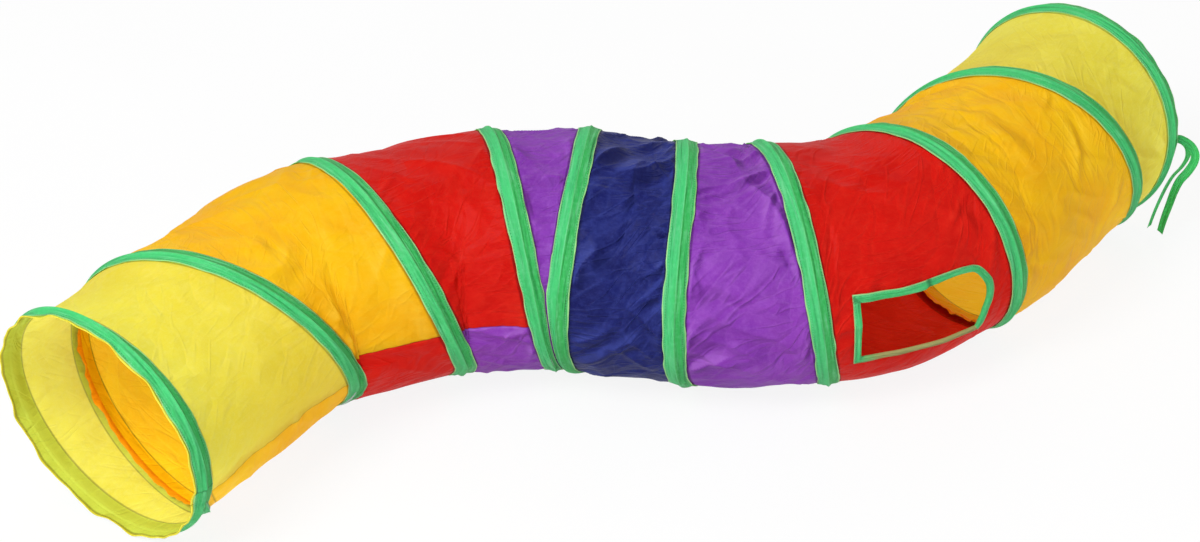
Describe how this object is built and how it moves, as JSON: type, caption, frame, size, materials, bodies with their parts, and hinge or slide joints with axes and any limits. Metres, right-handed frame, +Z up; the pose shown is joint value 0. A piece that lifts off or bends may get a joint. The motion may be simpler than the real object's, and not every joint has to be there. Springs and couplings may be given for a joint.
{
  "type": "collapsible cat tunnel",
  "caption": "S-shaped collapsible fabric cat tunnel on a spring wire bound with tape, with a mouth at each end, a side window and a tie ribbon that holds it folded.",
  "frame": {"origin": "On the floor under the middle of the tunnel's ground area, the ribbon's loose tails left out.", "axes": "+Z up, +X along the tunnel's longest extent, from the left mouth in the picture to the right one, -Y towards the picture's camera."},
  "size_m": [1.2402, 0.7222, 0.2565],
  "materials": {
    "yellow": "thin coated polyester",
    "orange": "thin coated polyester",
    "red": "thin coated polyester",
    "purple": "thin coated polyester",
    "navy": "thin coated polyester",
    "green": "woven polyester tape",
    "steel": "spring steel wire"
  },
  "bodies": {
    "front_end": {"tape_rim_front": "green", "wire_rim_front": "steel", "crimp_sleeve_front": "steel", "panel_1_yellow": "yellow"},
    "turn_1": {"tape_turn_1": "green", "wire_turn_1": "steel", "panel_2_orange": "orange"},
    "turn_2": {"tape_turn_2": "green", "wire_turn_2": "steel", "panel_3_red": "red"},
    "middle": {"tape_turn_3": "green", "wire_turn_3": "steel", "panel_4_purple": "purple", "tape_turn_4": "green", "wire_turn_4": "steel", "panel_5_navy": "navy"},
    "turn_5": {"tape_turn_5": "green", "wire_turn_5": "steel", "panel_6_purple": "purple"},
    "turn_6": {"tape_turn_6": "green", "wire_turn_6": "steel", "panel_7_red": "red", "window_binding": "green"},
    "turn_7": {"tape_turn_7": "green", "wire_turn_7": "steel", "panel_8_orange": "orange"},
    "rear_end": {"tape_turn_8": "green", "wire_turn_8": "steel", "panel_9_yellow": "yellow", "tape_rim_rear": "green", "wire_rim_rear": "steel", "crimp_sleeve_rear": "steel", "ribbon_tab": "green", "ribbon_tail_a": "green", "ribbon_tail_b": "green"}
  },
  "joints": [
    {"name": "close_zone_1", "type": "slide", "parent": "turn_1", "child": "front_end", "axis": [0.5635, 0.8261, 0], "range_m": [0, 0.17], "stiffness_N_per_m": 30, "deforming": ["tape_turn_1", "wire_turn_1", "panel_1_yellow", "panel_2_orange"]},
    {"name": "close_zone_2", "type": "slide", "parent": "turn_2", "child": "turn_1", "axis": [0.9157, 0.402, 0], "range_m": [0, 0.092], "stiffness_N_per_m": 30, "deforming": ["tape_turn_2", "wire_turn_2", "panel_2_orange", "panel_3_red"]},
    {"name": "close_zone_3", "type": "slide", "parent": "middle", "child": "turn_2", "axis": [0.9993, 0.0384, 0], "range_m": [0, 0.072], "stiffness_N_per_m": 30, "deforming": ["tape_turn_3", "wire_turn_3", "panel_3_red", "panel_4_purple"]},
    {"name": "close_zone_5", "type": "slide", "parent": "middle", "child": "turn_5", "axis": [-0.9789, 0.2045, 0], "range_m": [0, 0.08], "stiffness_N_per_m": 30, "deforming": ["tape_turn_5", "wire_turn_5", "panel_5_navy", "panel_6_purple"]},
    {"name": "close_zone_6", "type": "slide", "parent": "turn_5", "child": "turn_6", "axis": [-0.9959, -0.0906, 0], "range_m": [0, 0.057], "stiffness_N_per_m": 30, "deforming": ["tape_turn_6", "wire_turn_6", "panel_6_purple", "panel_7_red", "window_binding"]},
    {"name": "close_zone_7", "type": "slide", "parent": "turn_6", "child": "turn_7", "axis": [-0.7694, -0.6388, 0], "range_m": [0, 0.08], "stiffness_N_per_m": 30, "deforming": ["tape_turn_7", "wire_turn_7", "panel_7_red", "panel_8_orange", "window_binding"]},
    {"name": "close_zone_8", "type": "slide", "parent": "turn_7", "child": "rear_end", "axis": [-0.5779, -0.8161, 0], "range_m": [0, 0.18], "stiffness_N_per_m": 30, "deforming": ["tape_turn_8", "wire_turn_8", "panel_8_orange", "panel_9_yellow"]}
  ]
}
